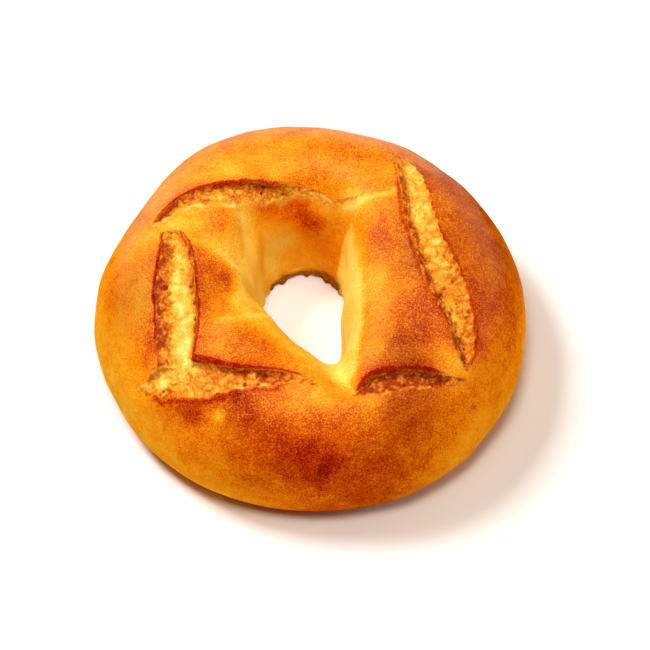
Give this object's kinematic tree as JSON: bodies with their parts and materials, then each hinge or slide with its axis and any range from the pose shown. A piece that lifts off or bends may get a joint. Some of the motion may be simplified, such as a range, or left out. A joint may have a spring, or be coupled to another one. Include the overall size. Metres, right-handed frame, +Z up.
{
  "type": "ring-shaped bread roll",
  "caption": "Ring-shaped bread roll with a golden baked crust, open splits that show pale crumb, and an uneven hole.",
  "frame": {"origin": "on the floor, under the middle of the roll's bounding box", "axes": "+Z up through the hole; +X along the longest way across, to the right of the side with the short and the long near splits; -Y towards that side"},
  "size_m": [0.1156, 0.1116, 0.041],
  "materials": {
    "crust": "egg-washed baked crust, satin"
  },
  "bodies": {
    "root": {"bread_ring": "crust"}
  },
  "joints": []
}
